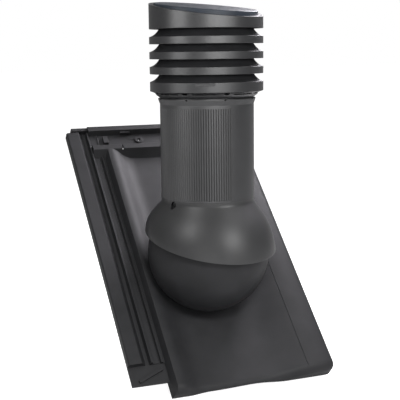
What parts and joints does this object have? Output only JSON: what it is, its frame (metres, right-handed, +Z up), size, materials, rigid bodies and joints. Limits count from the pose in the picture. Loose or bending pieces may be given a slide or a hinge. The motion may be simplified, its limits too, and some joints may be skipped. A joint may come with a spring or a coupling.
{
  "type": "roof tile vent",
  "caption": "Interlocking plastic roof tile with a ball-seat bowl, a hood that tilts on it, a fluted double-walled pipe and a louvred cap with a slanted lid.",
  "frame": {"origin": "centre of the hose spigot's lower end", "axes": "+Z up along the plumb pipe, +X across the roof, -Y down the slope; the tile lies at the roof pitch"},
  "size_m": [0.2956, 0.3693, 0.5331],
  "materials": {
    "tile": "satin anthracite moulding",
    "hood": "satin anthracite moulding",
    "pipe": "satin anthracite, fluted",
    "duct": "plain grey",
    "cap": "satin anthracite moulding",
    "lid": "bluish grey gloss",
    "screws": "plain steel"
  },
  "bodies": {
    "tile": {"tile_base": "tile"},
    "vent_stack": {"dome_hood": "hood", "outer_pipe": "pipe", "inner_duct": "duct", "neck_screws": "screws", "cap_base": "cap", "louvre_ring_lower": "cap", "louvre_ring_middle": "cap", "louvre_ring_upper": "cap", "cap_top": "cap", "cap_lid": "lid"}
  },
  "joints": [
    {"name": "hood_tilt", "type": "hinge", "parent": "tile", "child": "vent_stack", "pos_m": [0, -0.08153, 0.08805], "axis": [1, 0, 0], "range_deg": [-5, 23]}
  ]
}
